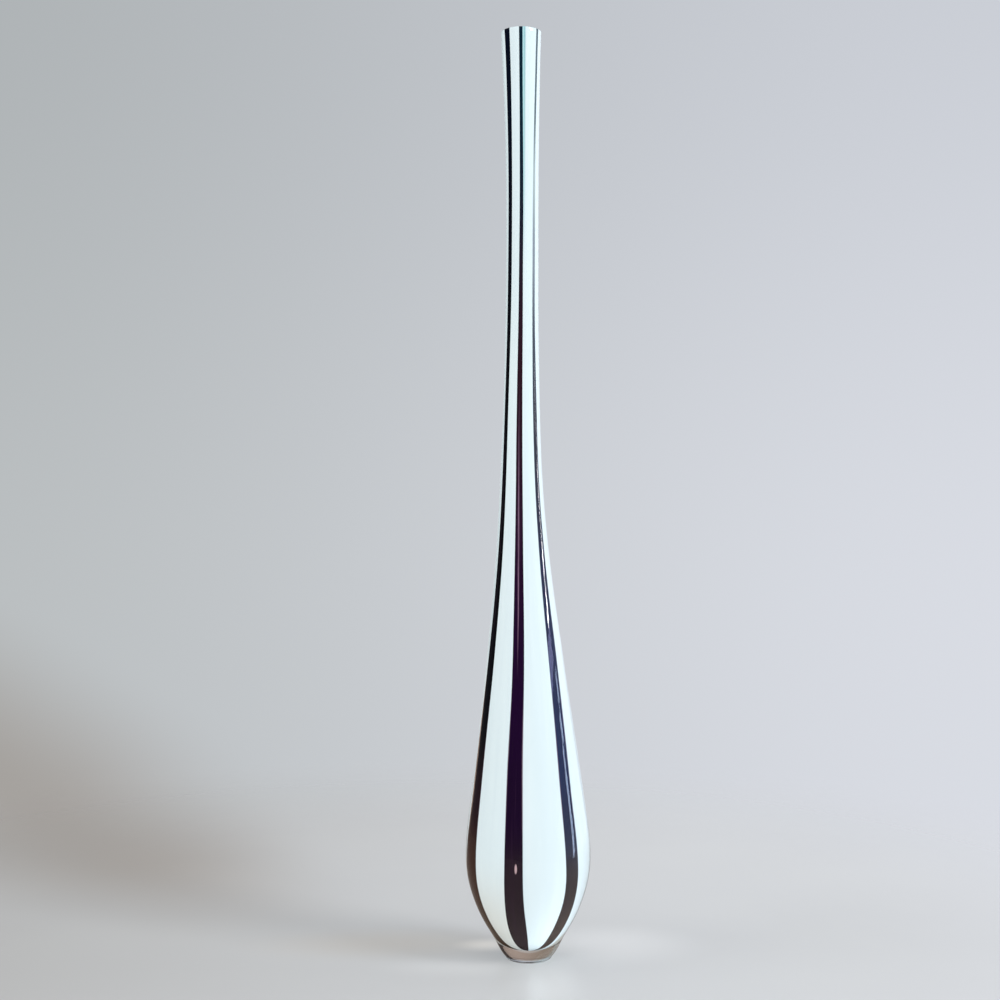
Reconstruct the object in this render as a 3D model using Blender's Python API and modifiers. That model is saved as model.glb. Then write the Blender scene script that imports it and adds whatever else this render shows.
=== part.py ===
"""A tall hand-blown stem vase in cased glass, standing on the origin with its axis along +Z.

Six dark amethyst stripes and six opal white panels lie side by side and form the coloured wall. They run
from the lip down to the middle of the bowl. A clear casing with a thick solid base holds them from outside.
The neck bows a little to one side, as glass blown without a mould does.
Lengths are in metres and angles in degrees. Angle zero is the front, -Y, and angles grow towards +X.
"""

import math

import bmesh
import bpy
import numpy as np

# The outline's driving sizes
HEIGHT = 0.500
LIP_RADIUS = 0.01098
NECK_RADIUS = 0.00882
NECK_HEIGHT = 0.380
BELLY_RADIUS = 0.0336
BELLY_HEIGHT = 0.0545
FOOT_RADIUS = 0.0108

# How far the middle of the neck stands aside from the foot and the lip, towards -X
NECK_BOW = 0.0019

# Wall thicknesses, and the clear glass under and over the colour
CASING_AT_LIP = 0.0013
CASING_AT_NECK = 0.0015
CASING_AT_BELLY = 0.0026
COLOUR_AT_NECK = 0.0012
COLOUR_AT_BELLY = 0.0015
BASE_THICKNESS = 0.0085
LIP_CROWN = 0.0008

# The hollow that is left where the finished vase was ground off its iron
PUNTY_RADIUS = 0.0072
PUNTY_DEPTH = 0.0009

# The strips stop short of the axis, where they would have no width left
POLE_RADIUS = 0.0020

# Clearance between pieces that touch
SEAM = 0.0003

# Points closer than this are one point
MERGE_DISTANCE = 0.00001

# From the belly up to the neck: share of the way up, share of the way out from the neck's radius
SHOULDER_SHARES = (
    (0.095, 0.886),
    (0.180, 0.735),
    (0.290, 0.545),
    (0.355, 0.442),
    (0.425, 0.331),
    (0.555, 0.168),
    (0.700, 0.063),
    (0.850, 0.015),
)

# From the neck up to the lip: share of the way up, share of the way out to the lip's radius
THROAT_SHARES = (
    (0.30, 0.01),
    (0.55, 0.18),
    (0.77, 0.50),
)

# From the belly down to the foot's rounded edge: share of the belly's height, share of its radius
HEEL_SHARES = (
    (0.160, 0.980),
    (0.340, 0.912),
    (0.500, 0.816),
    (0.640, 0.702),
    (0.800, 0.548),
    (0.930, 0.434),
    (0.975, 0.375),
)

# Outward run for each unit of rise, where the outline starts at the foot and ends at the lip
FOOT_SLOPE_SHARE = 1.0
LIP_SLOPE_SHARE = 0.055

# The bow: share of the height, share of the way aside
BOW_SHARES = (
    (0.00, 0.00),
    (0.21, 0.00),
    (0.30, 0.28),
    (0.39, 0.66),
    (0.45, 0.88),
    (0.50, 0.99),
    (0.56, 0.88),
    (0.62, 0.64),
    (0.69, 0.36),
    (0.76, 0.13),
    (0.84, -0.03),
    (0.93, -0.06),
    (1.00, 0.00),
)

# The middle of each stripe at the belly
STRIPE_ANGLES = (-70.9, -14.4, 45.9, 109.0, 169.0, 229.0)

# Share of the colour's height, turn away from the belly's angle, and width there.
# Stripes four to six repeat them.
STRIPE_COURSES = (
    (
        (0.00, -3.0, 28.0),
        (0.05, -4.0, 23.5),
        (0.10, 0.0, 20.2),
        (0.20, 0.0, 20.2),
        (0.27, 1.5, 19.6),
        (0.33, 4.8, 18.0),
        (0.40, 6.3, 17.8),
        (0.50, 8.0, 18.2),
        (0.60, 6.0, 20.3),
        (0.68, 10.0, 20.0),
        (0.75, 13.2, 20.2),
        (0.82, 15.8, 20.2),
        (0.90, 18.5, 20.6),
        (1.00, 23.2, 19.5),
    ),
    (
        (0.00, -2.0, 29.0),
        (0.05, -2.2, 21.8),
        (0.10, 0.0, 17.2),
        (0.20, 0.0, 17.5),
        (0.27, 2.1, 17.2),
        (0.33, 4.2, 18.1),
        (0.40, 5.5, 18.8),
        (0.50, 7.3, 19.2),
        (0.60, 6.8, 18.4),
        (0.68, 7.9, 15.6),
        (0.75, 9.0, 13.4),
        (0.82, 10.6, 12.6),
        (0.90, 11.6, 11.4),
        (1.00, 14.2, 10.9),
    ),
    (
        (0.00, 2.0, 20.0),
        (0.05, 6.5, 17.2),
        (0.10, 1.1, 14.6),
        (0.20, 0.7, 14.5),
        (0.27, 3.3, 15.6),
        (0.33, 5.1, 16.5),
        (0.40, 6.2, 15.8),
        (0.50, 8.5, 14.3),
        (0.60, 7.8, 15.4),
        (0.68, 4.6, 14.8),
        (0.75, 5.2, 15.4),
        (0.82, 6.4, 14.0),
        (0.90, 9.8, 9.4),
        (1.00, 14.0, 8.0),
    ),
)

# Facet counts
CASING_STEPS = 40
WALL_RINGS = 20
BOWL_RINGS = 9
HEEL_RINGS = 8
EDGE_RINGS = 3
CROWN_RINGS = 6
PUNTY_RINGS = 3
PANEL_COLUMNS = 4
STRIPE_COLUMNS = 2
# Rings lie closer together towards the belly, where the outline bends most
RING_CROWDING = 1.35

SMOOTH_ANGLE = math.radians(40.0)
CLEAR_COLOUR = (0.90, 0.93, 0.93, 1.0)
OPAL_COLOUR = (0.86, 0.91, 0.92, 1.0)
AMETHYST_COLOUR = (0.018, 0.010, 0.024, 1.0)
CLEAR_ROUGHNESS = 0.02
COLOUR_ROUGHNESS = 0.08


def smooth_curve(points, start_slope=0.0, end_slope=0.0):
    """A function through the points whose slope and curvature have no steps, with the given end slopes."""
    x = np.array([p[0] for p in points])
    y = np.array([p[1] for p in points])
    run = np.diff(x)
    rise = np.diff(y)
    count = len(points)
    system = np.zeros((count, count))
    target = np.zeros(count)
    system[0, 0] = 1.0
    system[-1, -1] = 1.0
    target[0] = start_slope
    target[-1] = end_slope
    for i in range(1, count - 1):
        system[i, i - 1] = 1.0 / run[i - 1]
        system[i, i] = 2.0 / run[i - 1] + 2.0 / run[i]
        system[i, i + 1] = 1.0 / run[i]
        target[i] = 3.0 * (rise[i - 1] / run[i - 1] ** 2 + rise[i] / run[i] ** 2)
    slopes = np.linalg.solve(system, target)

    def value(at):
        i = min(max(int(np.searchsorted(x, at)) - 1, 0), count - 2)
        t = min(max((at - x[i]) / run[i], 0.0), 1.0)
        start = (2.0 * t**3 - 3.0 * t**2 + 1.0) * y[i] + (t**3 - 2.0 * t**2 + t) * run[i] * slopes[i]
        end = (3.0 * t**2 - 2.0 * t**3) * y[i + 1] + (t**3 - t**2) * run[i] * slopes[i + 1]
        return float(start + end)

    return value


def outline_points():
    """Height and radius of the outer surface, from the foot's rounded edge up to the lip."""
    heel = [(BELLY_HEIGHT * (1.0 - down), BELLY_RADIUS * out) for down, out in reversed(HEEL_SHARES)]
    neck_rise = NECK_HEIGHT - BELLY_HEIGHT
    neck_swell = BELLY_RADIUS - NECK_RADIUS
    shoulder = []
    for up, out in SHOULDER_SHARES:
        shoulder.append((BELLY_HEIGHT + neck_rise * up, NECK_RADIUS + neck_swell * out))
    lip_rise = HEIGHT - NECK_HEIGHT
    lip_swell = LIP_RADIUS - NECK_RADIUS
    throat = [(NECK_HEIGHT + lip_rise * up, NECK_RADIUS + lip_swell * out) for up, out in THROAT_SHARES]
    belly = (BELLY_HEIGHT, BELLY_RADIUS)
    neck = (NECK_HEIGHT, NECK_RADIUS)
    return heel + [belly] + shoulder + [neck] + throat + [(HEIGHT, LIP_RADIUS)]


outline = smooth_curve(outline_points(), FOOT_SLOPE_SHARE, LIP_SLOPE_SHARE)
casing_wall = smooth_curve(
    [(BELLY_HEIGHT, CASING_AT_BELLY), (NECK_HEIGHT, CASING_AT_NECK), (HEIGHT, CASING_AT_LIP)]
)
colour_wall = smooth_curve([(BELLY_HEIGHT, COLOUR_AT_BELLY), (NECK_HEIGHT, COLOUR_AT_NECK)])
bow_share = smooth_curve(BOW_SHARES)
stripe_turns = []
stripe_widths = []
for course in STRIPE_COURSES:
    stripe_turns.append(smooth_curve([(share, turn) for share, turn, width in course]))
    stripe_widths.append(smooth_curve([(share, width) for share, turn, width in course]))

# The crown is the rounded lip of clear glass that closes the casing over the strips' upper ends
CROWN_BOTTOM = HEIGHT - LIP_CROWN
COLOUR_TOP = CROWN_BOTTOM - SEAM


def axis_x(height):
    """How far the bowed axis stands from the straight one at a height."""
    return -NECK_BOW * bow_share(height / HEIGHT)


def wall_heights(top):
    """Ring heights from a top level down to just above the belly."""
    rise = top - BELLY_HEIGHT
    return [BELLY_HEIGHT + rise * (1.0 - i / WALL_RINGS) ** RING_CROWDING for i in range(WALL_RINGS)]


def colour_profile(top, inset, pole_angle):
    """Radius and height along a surface of the coloured wall, from a top level down to the bowl's pole.

    inset gives the surface's depth below the wall's outer face at a height, less than zero outside it. Above
    the belly the face follows the outline. Below it the face is half an ellipse, as a blown bubble's end is.
    """
    points = [(outline(z) - casing_wall(z) - inset(z), z) for z in wall_heights(top)]
    bowl_radius = BELLY_RADIUS - CASING_AT_BELLY - inset(BELLY_HEIGHT)
    bowl_depth = BELLY_HEIGHT - BASE_THICKNESS - inset(BELLY_HEIGHT)
    for i in range(BOWL_RINGS + 1):
        angle = pole_angle * i / BOWL_RINGS
        points.append((bowl_radius * math.cos(angle), BELLY_HEIGHT - bowl_depth * math.sin(angle)))
    return points


def crown_profile():
    """The rounded lip, from its inner edge over the top to its outer edge."""
    outer = outline(CROWN_BOTTOM)
    wall = casing_wall(CROWN_BOTTOM) + SEAM + colour_wall(CROWN_BOTTOM)
    middle = outer - wall / 2.0
    points = []
    for i in range(CROWN_RINGS + 1):
        angle = math.pi * (1.0 - i / CROWN_RINGS)
        points.append((middle + wall / 2.0 * math.cos(angle), CROWN_BOTTOM + LIP_CROWN * math.sin(angle)))
    return points


def heel_profile():
    """The outer side from the belly down to the foot's rounded edge."""
    lowest = outline_points()[0][0]
    drop = BELLY_HEIGHT - lowest
    return [
        (outline(BELLY_HEIGHT - drop * i / HEEL_RINGS), BELLY_HEIGHT - drop * i / HEEL_RINGS)
        for i in range(HEEL_RINGS + 1)
    ]


def foot_profile():
    """The foot's rounded edge, its flat ring and the shallow hollow in its middle."""
    edge_height, edge_radius = outline_points()[0]
    points = []
    for i in range(1, EDGE_RINGS + 1):
        angle = math.pi / 2.0 * (1.0 - i / EDGE_RINGS)
        radius = FOOT_RADIUS + (edge_radius - FOOT_RADIUS) * math.sin(angle)
        points.append((radius, edge_height * (1.0 - math.cos(angle))))
    for i in range(PUNTY_RINGS + 1):
        out = 1.0 - i / PUNTY_RINGS
        points.append((PUNTY_RADIUS * out, PUNTY_DEPTH * (1.0 - out**2)))
    return points


def glass_material(name, colour, roughness, transmission):
    material = bpy.data.materials.new(name)
    material.use_nodes = True
    shader = material.node_tree.nodes["Principled BSDF"]
    shader.inputs["Base Color"].default_value = colour
    shader.inputs["Roughness"].default_value = roughness
    shader.inputs["Metallic"].default_value = 0.0
    shader.inputs["Transmission Weight"].default_value = transmission
    return material


def add_object(name, mesh, material, home, parent):
    piece = bpy.data.objects.new(name, mesh)
    mesh.materials.append(material)
    home.objects.link(piece)
    piece.parent = parent
    return piece


def turned_piece(name, profile, material, home, parent):
    """A solid turned from a profile that starts and ends on the axis, then bowed."""
    mesh = bpy.data.meshes.new(name + "_profile")
    vertices = [(radius, 0.0, height) for radius, height in profile]
    mesh.from_pydata(vertices, [(i, i + 1) for i in range(len(vertices) - 1)], [])
    blank = add_object(name + "_profile", mesh, material, home, parent)
    turn = blank.modifiers.new("turn", "SCREW")
    turn.axis = "Z"
    turn.angle = math.tau
    turn.steps = CASING_STEPS
    turn.render_steps = CASING_STEPS
    turn.use_merge_vertices = True
    turn.merge_threshold = MERGE_DISTANCE
    turn.use_smooth_shade = True
    turned = bpy.data.meshes.new_from_object(blank.evaluated_get(bpy.context.evaluated_depsgraph_get()))
    bpy.data.objects.remove(blank, do_unlink=True)
    turned.name = name
    turned.materials.clear()
    for vertex in turned.vertices:
        vertex.co.x += axis_x(vertex.co.z)
    return add_object(name, turned, material, home, parent)


def make_casing(home, parent):
    """The clear outer glass: cavity, crown, outer side, solid base and foot in one turned profile."""
    cavity = colour_profile(CROWN_BOTTOM, lambda z: -SEAM, math.pi / 2.0)
    pole_height = cavity[-1][1]
    inside = [(0.0, pole_height)] + list(reversed(cavity[:-1]))
    outside = [(outline(z), z) for z in wall_heights(CROWN_BOTTOM)[1:]]
    profile = inside + crown_profile() + outside + heel_profile() + foot_profile()
    material = glass_material("clear_glass", CLEAR_COLOUR, CLEAR_ROUGHNESS, 1.0)
    return turned_piece("clear_casing", profile, material, home, parent)


def colour_share(height):
    """Share of the colour's height that a level has reached."""
    return (height - BASE_THICKNESS) / (COLOUR_TOP - BASE_THICKNESS)


def stripe_edges(number, height):
    """The angles of a stripe's two edges at a height."""
    share = colour_share(height)
    course = number % len(STRIPE_COURSES)
    middle = STRIPE_ANGLES[number] + stripe_turns[course](share)
    half = stripe_widths[course](share) / 2.0
    return middle - half, middle + half


def panel_edges(number, height):
    """The angles of a panel's two edges, which are the facing edges of the stripes beside it."""
    following = (number + 1) % len(STRIPE_ANGLES)
    start = stripe_edges(number, height)[1]
    end = stripe_edges(following, height)[0]
    if following == 0:
        end += 360.0
    return start, end


def arc(radius, height, edges, columns):
    """Points across a strip at one level, kept back by half a seam at both edges."""
    start = math.radians(edges[0]) + SEAM / 2.0 / radius
    end = math.radians(edges[1]) - SEAM / 2.0 / radius
    angles = [start + (end - start) * i / columns for i in range(columns + 1)]
    middle = axis_x(height)
    return [(middle + radius * math.sin(a), -radius * math.cos(a), height) for a in angles]


def strip_sections(edges_at, columns):
    """Closed cross-sections of a strip, from the lip down to the bowl's pole."""
    bowl_radius = BELLY_RADIUS - CASING_AT_BELLY
    pole_angle = math.acos(POLE_RADIUS / bowl_radius)
    outer = colour_profile(COLOUR_TOP, lambda z: 0.0, pole_angle)
    inner = colour_profile(COLOUR_TOP, colour_wall, pole_angle)
    sections = []
    for (outer_radius, outer_height), (inner_radius, inner_height) in zip(outer, inner):
        edges = edges_at(outer_height)
        front = arc(outer_radius, outer_height, edges, columns)
        back = arc(inner_radius, inner_height, edges, columns)
        sections.append(front + list(reversed(back)))
    return sections


def lofted_piece(name, sections, columns, material, home, parent):
    """A solid skinned over sections of equal point counts, with a row of faces across each end."""
    form = bmesh.new()
    rows = [[form.verts.new(point) for point in section] for section in sections]
    count = len(rows[0])
    for upper, lower in zip(rows, rows[1:]):
        for i in range(count):
            following = (i + 1) % count
            form.faces.new((upper[i], upper[following], lower[following], lower[i]))
    for row in (rows[0], rows[-1]):
        for i in range(columns):
            form.faces.new((row[i], row[i + 1], row[count - 2 - i], row[count - 1 - i]))
    bmesh.ops.recalc_face_normals(form, faces=form.faces)
    mesh = bpy.data.meshes.new(name)
    form.to_mesh(mesh)
    form.free()
    mesh.shade_smooth()
    mesh.set_sharp_from_angle(angle=SMOOTH_ANGLE)
    return add_object(name, mesh, material, home, parent)


def make_strip(name, edges_at, columns, colour, home, parent):
    """One strip of coloured glass, as wide at each height as its two edges leave it."""
    material = glass_material(name + "_glass", colour, COLOUR_ROUGHNESS, 0.0)
    sections = strip_sections(edges_at, columns)
    return lofted_piece(name, sections, columns, material, home, parent)


def main():
    for old in list(bpy.data.objects):
        bpy.data.objects.remove(old, do_unlink=True)
    home = bpy.data.collections.new("stem_vase")
    bpy.context.scene.collection.children.link(home)
    parent = bpy.data.objects.new("stem_vase_base", None)
    parent.empty_display_size = FOOT_RADIUS
    home.objects.link(parent)

    make_casing(home, parent)
    for number in range(len(STRIPE_ANGLES)):
        place = str(number + 1)
        make_strip(
            "amethyst_stripe_" + place,
            lambda height, n=number: stripe_edges(n, height),
            STRIPE_COLUMNS, AMETHYST_COLOUR, home, parent,
        )
        make_strip(
            "opal_panel_" + place,
            lambda height, n=number: panel_edges(n, height),
            PANEL_COLUMNS, OPAL_COLOUR, home, parent,
        )


main()
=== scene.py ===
"""A tall hand-blown stem vase on a pale studio floor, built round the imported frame.

The clear casing is one turned crystal wall, and twelve strips of coloured glass are fused to its inside: six
dark amethyst stripes and six opal panels, which run from the rounded lip down to the pole of the bowl.
The neck bows a little to one side.
Lengths are in metres and angles in degrees. Angle zero is the front, -Y, and angles grow towards +X.
"""

import math

import bmesh
import bpy
import numpy as np
from mathutils import Matrix, Vector


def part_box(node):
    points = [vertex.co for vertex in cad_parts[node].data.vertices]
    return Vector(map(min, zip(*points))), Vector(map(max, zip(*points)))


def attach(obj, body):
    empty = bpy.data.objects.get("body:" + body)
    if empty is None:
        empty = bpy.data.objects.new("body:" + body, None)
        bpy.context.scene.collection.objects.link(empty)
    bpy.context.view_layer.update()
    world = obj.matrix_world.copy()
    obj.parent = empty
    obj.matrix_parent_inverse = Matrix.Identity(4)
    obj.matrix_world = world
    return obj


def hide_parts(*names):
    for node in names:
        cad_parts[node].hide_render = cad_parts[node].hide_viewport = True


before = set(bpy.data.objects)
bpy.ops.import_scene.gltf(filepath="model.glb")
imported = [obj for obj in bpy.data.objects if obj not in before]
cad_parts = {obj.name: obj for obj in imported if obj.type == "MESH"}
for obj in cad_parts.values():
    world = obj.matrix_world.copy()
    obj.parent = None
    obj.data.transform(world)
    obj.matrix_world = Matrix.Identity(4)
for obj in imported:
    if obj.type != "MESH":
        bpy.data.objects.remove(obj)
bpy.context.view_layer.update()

# The outline's sizes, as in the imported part
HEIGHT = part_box("clear_casing")[1].z
LIP_RADIUS = 0.01098
NECK_RADIUS = 0.00882
NECK_HEIGHT = 0.380
BELLY_RADIUS = 0.0336
BELLY_HEIGHT = 0.0545
FOOT_RADIUS = 0.0108

# How far the middle of the neck stands aside from the foot and the lip, towards -X
NECK_BOW = 0.0019

# Wall thicknesses, and the clear glass under and over the colour
CASING_AT_LIP = 0.0013
CASING_AT_NECK = 0.0015
CASING_AT_BELLY = 0.0026
COLOUR_AT_NECK = 0.0012
COLOUR_AT_BELLY = 0.0015
BASE_THICKNESS = 0.0085
LIP_CROWN = 0.0008

# The hollow that is left where the finished vase was ground off its iron
PUNTY_RADIUS = 0.0072
PUNTY_DEPTH = 0.0009

# From the belly up to the neck: share of the way up, share of the way out from the neck's radius
SHOULDER_SHARES = (
    (0.095, 0.886),
    (0.180, 0.735),
    (0.290, 0.545),
    (0.355, 0.442),
    (0.425, 0.331),
    (0.555, 0.168),
    (0.700, 0.063),
    (0.850, 0.015),
)

# From the neck up to the lip: share of the way up, share of the way out to the lip's radius
THROAT_SHARES = ((0.30, 0.01), (0.55, 0.18), (0.77, 0.50))

# From the belly down to the foot's rounded edge: share of the belly's height, share of its radius
HEEL_SHARES = (
    (0.160, 0.980),
    (0.340, 0.912),
    (0.500, 0.816),
    (0.640, 0.702),
    (0.800, 0.548),
    (0.930, 0.434),
    (0.975, 0.375),
)

# Outward run for each unit of rise, where the outline starts at the foot and ends at the lip
FOOT_SLOPE_SHARE = 1.0
LIP_SLOPE_SHARE = 0.055

# The bow: share of the height, share of the way aside
BOW_SHARES = (
    (0.00, 0.00),
    (0.21, 0.00),
    (0.30, 0.28),
    (0.39, 0.66),
    (0.45, 0.88),
    (0.50, 0.99),
    (0.56, 0.88),
    (0.62, 0.64),
    (0.69, 0.36),
    (0.76, 0.13),
    (0.84, -0.03),
    (0.93, -0.06),
    (1.00, 0.00),
)

# The middle of each stripe at the belly
STRIPE_ANGLES = (-70.9, -14.4, 45.9, 109.0, 169.0, 229.0)

# Share of the colour's height, turn away from the belly's angle, and width there. They follow the photograph
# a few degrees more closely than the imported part's do. Stripes four to six repeat them.
STRIPE_COURSES = (
    (
        (0.00, -0.5, 31.0),
        (0.05, -2.7, 28.8),
        (0.10, -0.5, 23.6),
        (0.20, -1.1, 22.6),
        (0.27, 0.8, 21.8),
        (0.33, 4.0, 19.9),
        (0.40, 6.1, 19.4),
        (0.50, 8.4, 19.8),
        (0.60, 5.9, 22.2),
        (0.68, 9.7, 22.2),
        (0.75, 12.7, 22.6),
        (0.82, 15.2, 22.6),
        (0.90, 18.1, 23.2),
        (1.00, 22.0, 22.0),
    ),
    (
        (0.00, -1.3, 27.2),
        (0.05, -1.4, 20.6),
        (0.10, -0.5, 17.5),
        (0.20, -0.9, 18.3),
        (0.27, 1.2, 17.8),
        (0.33, 3.3, 18.9),
        (0.40, 4.6, 20.4),
        (0.50, 7.1, 21.0),
        (0.60, 6.7, 19.9),
        (0.68, 7.7, 17.2),
        (0.75, 8.4, 14.9),
        (0.82, 9.9, 13.1),
        (0.90, 10.7, 11.0),
        (1.00, 12.4, 11.2),
    ),
    (
        (0.00, -2.6, 22.5),
        (0.05, 0.2, 18.5),
        (0.10, -0.7, 16.2),
        (0.20, -0.2, 16.4),
        (0.27, 2.2, 17.6),
        (0.33, 3.6, 18.5),
        (0.40, 4.9, 18.2),
        (0.50, 7.4, 18.2),
        (0.60, 6.5, 19.6),
        (0.68, 2.8, 14.0),
        (0.75, 3.2, 13.6),
        (0.82, 4.4, 12.4),
        (0.90, 7.4, 9.6),
        (1.00, 11.6, 8.4),
    ),
)

# How deep the coloured wall sinks into the casing, so that no air is left between them
FUSED_DEPTH = 0.0001
# The colour's rounded upper end, above the level where the lip begins to round over
COLOUR_CROWN = 0.00045
# The strips stop this far from the axis at the pole
POLE_RADIUS = 0.0003

# The waves by which a drawn-out edge wanders: per height of the colour, shift from edge to edge, and degrees
SWAY_WAVES = ((9.0, 2.1, 0.45), (23.0, 4.7, 0.22), (61.0, 1.3, 0.08))
SWAY_AT_POLE = 0.35
SWAY_GAIN = 0.9

# Mesh resolution
CASING_SEGMENTS = 144
WALL_RINGS = 190
BOWL_RINGS = 40
HEEL_RINGS = 44
CROWN_STEPS = 14
EDGE_RINGS = 8
PUNTY_RINGS = 12
CAP_RINGS = 5
CAP_ANGLE = 78.0
PANEL_COLUMNS = 14
STRIPE_COLUMNS = 8
RING_CROWDING = 1.2
SHARP_ANGLE = 50.0
# Nearer to the floor than this is on it
TOUCHING = 1e-7


def smooth_curve(points, start_slope=0.0, end_slope=0.0):
    """A function through the points whose slope and curvature have no steps, with the given end slopes."""
    x = np.array([p[0] for p in points])
    y = np.array([p[1] for p in points])
    run = np.diff(x)
    rise = np.diff(y)
    count = len(points)
    system = np.zeros((count, count))
    target = np.zeros(count)
    system[0, 0] = 1.0
    system[-1, -1] = 1.0
    target[0] = start_slope
    target[-1] = end_slope
    for i in range(1, count - 1):
        system[i, i - 1] = 1.0 / run[i - 1]
        system[i, i] = 2.0 / run[i - 1] + 2.0 / run[i]
        system[i, i + 1] = 1.0 / run[i]
        target[i] = 3.0 * (rise[i - 1] / run[i - 1] ** 2 + rise[i] / run[i] ** 2)
    slopes = np.linalg.solve(system, target)

    def value(at):
        i = min(max(int(np.searchsorted(x, at)) - 1, 0), count - 2)
        t = min(max((at - x[i]) / run[i], 0.0), 1.0)
        start = (2.0 * t**3 - 3.0 * t**2 + 1.0) * y[i] + (t**3 - 2.0 * t**2 + t) * run[i] * slopes[i]
        end = (3.0 * t**2 - 2.0 * t**3) * y[i + 1] + (t**3 - t**2) * run[i] * slopes[i + 1]
        return float(start + end)

    return value


def outline_points():
    """Height and radius of the outer surface, from the foot's rounded edge up to the lip."""
    heel = [(BELLY_HEIGHT * (1.0 - down), BELLY_RADIUS * out) for down, out in reversed(HEEL_SHARES)]
    neck_rise = NECK_HEIGHT - BELLY_HEIGHT
    neck_swell = BELLY_RADIUS - NECK_RADIUS
    shoulder = []
    for up, out in SHOULDER_SHARES:
        shoulder.append((BELLY_HEIGHT + neck_rise * up, NECK_RADIUS + neck_swell * out))
    lip_rise = HEIGHT - NECK_HEIGHT
    lip_swell = LIP_RADIUS - NECK_RADIUS
    throat = [(NECK_HEIGHT + lip_rise * up, NECK_RADIUS + lip_swell * out) for up, out in THROAT_SHARES]
    belly = (BELLY_HEIGHT, BELLY_RADIUS)
    neck = (NECK_HEIGHT, NECK_RADIUS)
    return heel + [belly] + shoulder + [neck] + throat + [(HEIGHT, LIP_RADIUS)]


outline_curve = smooth_curve(outline_points(), FOOT_SLOPE_SHARE, LIP_SLOPE_SHARE)
casing_wall = smooth_curve(
    [(BELLY_HEIGHT, CASING_AT_BELLY), (NECK_HEIGHT, CASING_AT_NECK), (HEIGHT, CASING_AT_LIP)]
)
colour_wall = smooth_curve([(BELLY_HEIGHT, COLOUR_AT_BELLY), (NECK_HEIGHT, COLOUR_AT_NECK)])
bow_share = smooth_curve(BOW_SHARES)
stripe_turns = []
stripe_widths = []
for course in STRIPE_COURSES:
    stripe_turns.append(smooth_curve([(share, turn) for share, turn, width in course]))
    stripe_widths.append(smooth_curve([(share, width) for share, turn, width in course]))

# The level where the lip begins to round over
CROWN_BOTTOM = HEIGHT - LIP_CROWN


def outline(height):
    return min(outline_curve(height), BELLY_RADIUS)


def axis_x(height):
    """How far the bowed axis stands from the straight one at a height."""
    return -NECK_BOW * bow_share(height / HEIGHT)


def wall_heights(top):
    """Ring heights from a top level down to just above the belly."""
    rise = top - BELLY_HEIGHT
    return [BELLY_HEIGHT + rise * (1.0 - i / WALL_RINGS) ** RING_CROWDING for i in range(WALL_RINGS)]


def colour_profile(inset, pole_angle):
    """Radius and height along a surface of the coloured wall, from the crown down to the bowl's pole."""
    points = [(outline(z) - casing_wall(z) - inset(z), z) for z in wall_heights(CROWN_BOTTOM)]
    bowl_radius = BELLY_RADIUS - CASING_AT_BELLY - inset(BELLY_HEIGHT)
    bowl_depth = BELLY_HEIGHT - BASE_THICKNESS - inset(BELLY_HEIGHT)
    for i in range(BOWL_RINGS + 1):
        angle = pole_angle * i / BOWL_RINGS
        points.append((bowl_radius * math.cos(angle), BELLY_HEIGHT - bowl_depth * math.sin(angle)))
    return points


# The mesh is written straight from rings of points


def mesh_object(name, points, faces, materials, slots=None):
    mesh = bpy.data.meshes.new(name)
    mesh.from_pydata(points, [], faces)
    for material in materials:
        mesh.materials.append(material)
    if slots is not None:
        mesh.polygons.foreach_set("material_index", slots)
    mesh.validate()
    mesh.update()
    piece = bpy.data.objects.new(name, mesh)
    bpy.context.scene.collection.objects.link(piece)
    return piece


def face_outwards(piece):
    form = bmesh.new()
    form.from_mesh(piece.data)
    bmesh.ops.recalc_face_normals(form, faces=form.faces)
    form.to_mesh(piece.data)
    form.free()
    piece.data.update()


def turned_mesh(profile, segments):
    """Points and faces of a closed solid of revolution. The profile starts and ends on the axis."""
    points = [(0.0, 0.0, profile[0][1])]
    for radius, height in profile[1:-1]:
        for k in range(segments):
            angle = math.tau * k / segments
            points.append((axis_x(height) + radius * math.sin(angle), -radius * math.cos(angle), height))
    points.append((0.0, 0.0, profile[-1][1]))
    rings = len(profile) - 2
    faces = []
    for k in range(segments):
        following = (k + 1) % segments
        faces.append((0, 1 + following, 1 + k))
        last = 1 + (rings - 1) * segments
        faces.append((len(points) - 1, last + k, last + following))
        for ring in range(rings - 1):
            upper = 1 + ring * segments
            lower = upper + segments
            faces.append((upper + k, upper + following, lower + following, lower + k))
    return points, faces


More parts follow.
